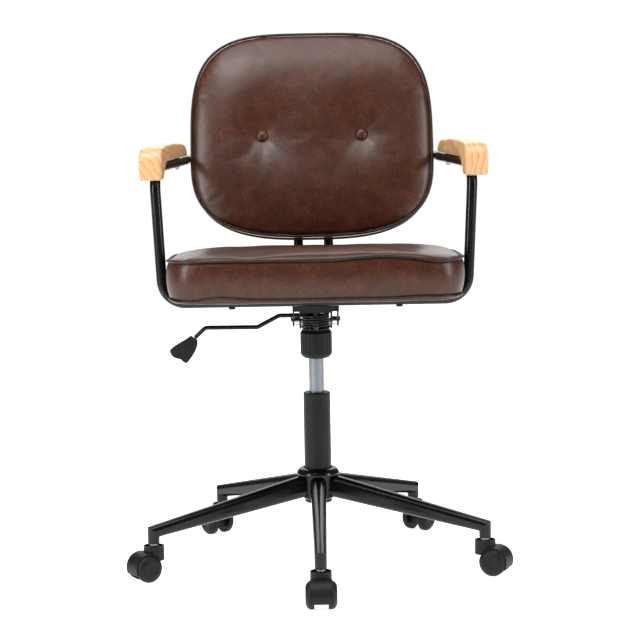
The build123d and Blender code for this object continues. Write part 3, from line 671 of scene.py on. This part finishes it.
def backRing(inset, count=220):
    points = []
    for i in range(count):
        t = 2 * pi * (i + 0.5) / count
        power = backPad["highPower"] if sin(t) > 0 else backPad["lowPower"]
        rise = (backPad["highRise"] if sin(t) > 0 else backPad["lowRise"]) - inset
        u = (backPad["halfWidth"] - inset) * abs(cos(t)) ** (2 / power) * (1 if cos(t) > 0 else -1)
        v = backPad["lowRise"] + rise * abs(sin(t)) ** (2 / power) * (1 if sin(t) > 0 else -1)
        points.append((u, v))
    return [(p.x, p.y) for p in evenly(points, count)]


def tuft(u, v):  # how strongly the buttons pull here, 0 to 1, with creases that run out from them
    crease = {"wing": 0.17, "wingReach": 56 * mm, "fold": 0.2, "foldWidth": 5 * mm,
              "foldRise": 22 * mm, "foldLength": 24 * mm}
    pull = 0.0
    for side in (-1, 1):
        du, dv = u - side * backPad["buttonX"], v - backPad["buttonV"]
        far = sqrt(du * du + dv * dv)
        near = exp(-(far / backPad["dimpleWidth"]) ** 1.3)
        along = abs(du) / max(far, 1e-6)
        wings = crease["wing"] * exp(-(far / crease["wingReach"]) ** 1.4)
        wings *= 0.5 + 0.5 * cos(2 * pi * along * 1.6)
        fold = crease["fold"] * bell(du, 0, crease["foldWidth"])
        fold *= bell(dv, crease["foldRise"], crease["foldLength"])
        pull += near + (wings + fold) * (1 - near)
    return pull


def nearButton(u, v):
    gap = min(abs(u - backPad["buttonX"]), abs(u + backPad["buttonX"]))
    return sqrt(gap ** 2 + (v - backPad["buttonV"]) ** 2) < backPad["buttonSeat"]


def makeBackPad():
    bpy.ops.object.select_all(action="DESELECT")
    bpy.ops.mesh.primitive_circle_add(vertices=220, fill_type="NGON", radius=0.3)
    piece = bpy.context.object
    depth = backPad["depth"]
    for vert, (u, v) in zip(piece.data.vertices, backRing(1 * mm)):
        vert.co = (u, v, -depth)
    bpy.ops.object.mode_set(mode="EDIT")
    bpy.ops.mesh.select_all(action="SELECT")
    bpy.ops.mesh.extrude_region_move(TRANSFORM_OT_translate={"value": (0, 0, depth)})
    bpy.ops.mesh.select_all(action="SELECT")
    bpy.ops.mesh.normals_make_consistent(inside=False)
    bpy.ops.object.mode_set(mode="OBJECT")
    voxelSkin(piece, backPad["voxel"])
    pins = {}
    for vert in piece.data.vertices:
        u, v, w = vert.co
        edge = min(backEdge(u, v), 1)
        if w > -0.2 * mm:
            crown = backPad["crown"] * (1 - edge ** 6) ** 0.6
            w = crown - backPad["dimple"] * tuft(u, v)
            if edge > 0.985 or nearButton(u, v):
                pins[vert.index] = 1.0
        elif edge > 0.97:
            bow = sin(pi * (w + depth) / depth)
            grow = 1 + backPad["bow"] * bow / backPad["halfWidth"] - 0.03 * (w / depth) ** 2
            u *= grow
            v = backPad["lowRise"] + (v - backPad["lowRise"]) * grow
        if w < -depth + 2 * mm or (edge > 0.97 and w > -4 * mm):
            pins[vert.index] = 1.0
        vert.co = backPoint(u, v, w)
    inflate(piece, pins, backPad["cap"], backPad["pressure"])
    for vert in piece.data.vertices:
        u, v, w = backPlace(vert.co)
        if w > 0:
            wave = noise.noise(Vector((u * 11, v * 11, 1))) * 1.3 * mm
            fold = noise.noise(Vector((u * 45, v * 30, 7))) * 0.3 * mm
            vert.co += backOut * (wave + fold) * (1 - backEdge(u, v) ** 6)
    smooth = piece.modifiers.new("soften", "SMOOTH")
    smooth.iterations = 2
    smooth.factor = 0.5
    finer = piece.modifiers.new("finer", "SUBSURF")
    finer.levels = finer.render_levels = 1
    applyModifiers(piece)
    bpy.ops.object.shade_smooth()
    dress(piece, leather)
    return piece


backCushion = settle(makeBackPad(), "backCushion", "seat")
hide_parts("back_cushion", "back_shell")
for seamName, inset, depth in (("backFrontPiping", -1.5 * mm, 0.5 * mm),
                               ("backRearPiping", 3.0 * mm, -backPad["depth"] + 1 * mm)):
    ring = [backPoint(u, v, depth) for u, v in backRing(inset)]
    settle(piping(ring, backPad["welt"], seamName), seamName, "seat")


def makeButton(side):  # leather pulled over a domed button
    button = {"radius": 13 * mm, "height": 8.5 * mm, "under": 3 * mm, "proud": 3 * mm}
    u, v = side * backPad["buttonX"], backPad["buttonV"]
    lift = backPad["crown"] - backPad["dimple"] + button["proud"]
    bpy.ops.mesh.primitive_uv_sphere_add(segments=40, ring_count=20, radius=button["radius"])
    piece = bpy.context.object
    for vert in piece.data.vertices:
        x, y, z = vert.co
        far = min(sqrt(x * x + y * y) / button["radius"], 1)
        if z > 0:
            z = button["height"] * (1 - far ** 2.6) ** 0.8
        else:
            z = -button["under"] * (1 - far ** 4)
        vert.co = backPoint(u + x, v + y, lift + z)
    bpy.ops.object.shade_smooth()
    dress(piece, leather)
    return piece


for side, name in ((-1, "buttonLeft"), (1, "buttonRight")):
    settle(makeButton(side), name, "seat")
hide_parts("back_buttons")
print("stage: back made")


# Wooden arm caps: the machined blank of each, with its edges rounded over and sanded

def makeArmCap(nodeName, name):
    cap = {"voxel": 1.7 * mm, "sanding": 80}
    source = nodes[nodeName]
    piece = source.copy()
    piece.data = source.data.copy()
    piece.parent = None
    for key in list(piece.keys()):
        del piece[key]
    bpy.context.collection.objects.link(piece)
    onlySelect(piece)
    bpy.ops.object.mode_set(mode="EDIT")
    bpy.ops.mesh.select_all(action="SELECT")
    bpy.ops.mesh.remove_doubles(threshold=0.02 * mm)
    bpy.ops.object.mode_set(mode="OBJECT")
    voxelSkin(piece, cap["voxel"])
    sand = piece.modifiers.new("sand", "SMOOTH")
    sand.iterations = cap["sanding"]
    sand.factor = 0.5
    applyModifiers(piece)
    bpy.ops.object.shade_smooth()
    low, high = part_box(nodeName)
    middle = (low + high) / 2
    dress(piece, lacqueredAsh(name + "Ash", (-middle.x * 0.9, -middle.y, -middle.z + 0.05)))
    return piece


for nodeName, name in (("arm_pad_left", "armCapLeft"), ("arm_pad_right", "armCapRight")):
    armCap = settle(makeArmCap(nodeName, name), name, "seat")
    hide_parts(nodeName)
print("stage: arm caps made")


# Raised grip rib moulded on the lever's paddle

def makePaddleRib():
    rib = {"length": 25 * mm, "width": 4.2 * mm, "height": 3.4 * mm, "turn": radians(48),
           "offset": (5 * mm, 0.4 * mm, 4 * mm)}
    low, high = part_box("lever_paddle")
    middle = (low + high) / 2
    bpy.ops.mesh.primitive_uv_sphere_add(segments=32, ring_count=16, radius=1)
    piece = bpy.context.object
    piece.scale = (rib["length"] / 2, rib["height"] / 2, rib["width"] / 2)
    piece.rotation_euler = (0, -rib["turn"], 0)
    across, out, up = rib["offset"]
    piece.location = (middle.x + across, low.y + out, middle.z + up)
    bpy.ops.object.shade_smooth()
    dress(piece, nylon)
    return piece


settle(makePaddleRib(), "paddleRib", "height_lever")
print("stage: paddle rib made")

bpy.ops.object.select_all(action="DESELECT")
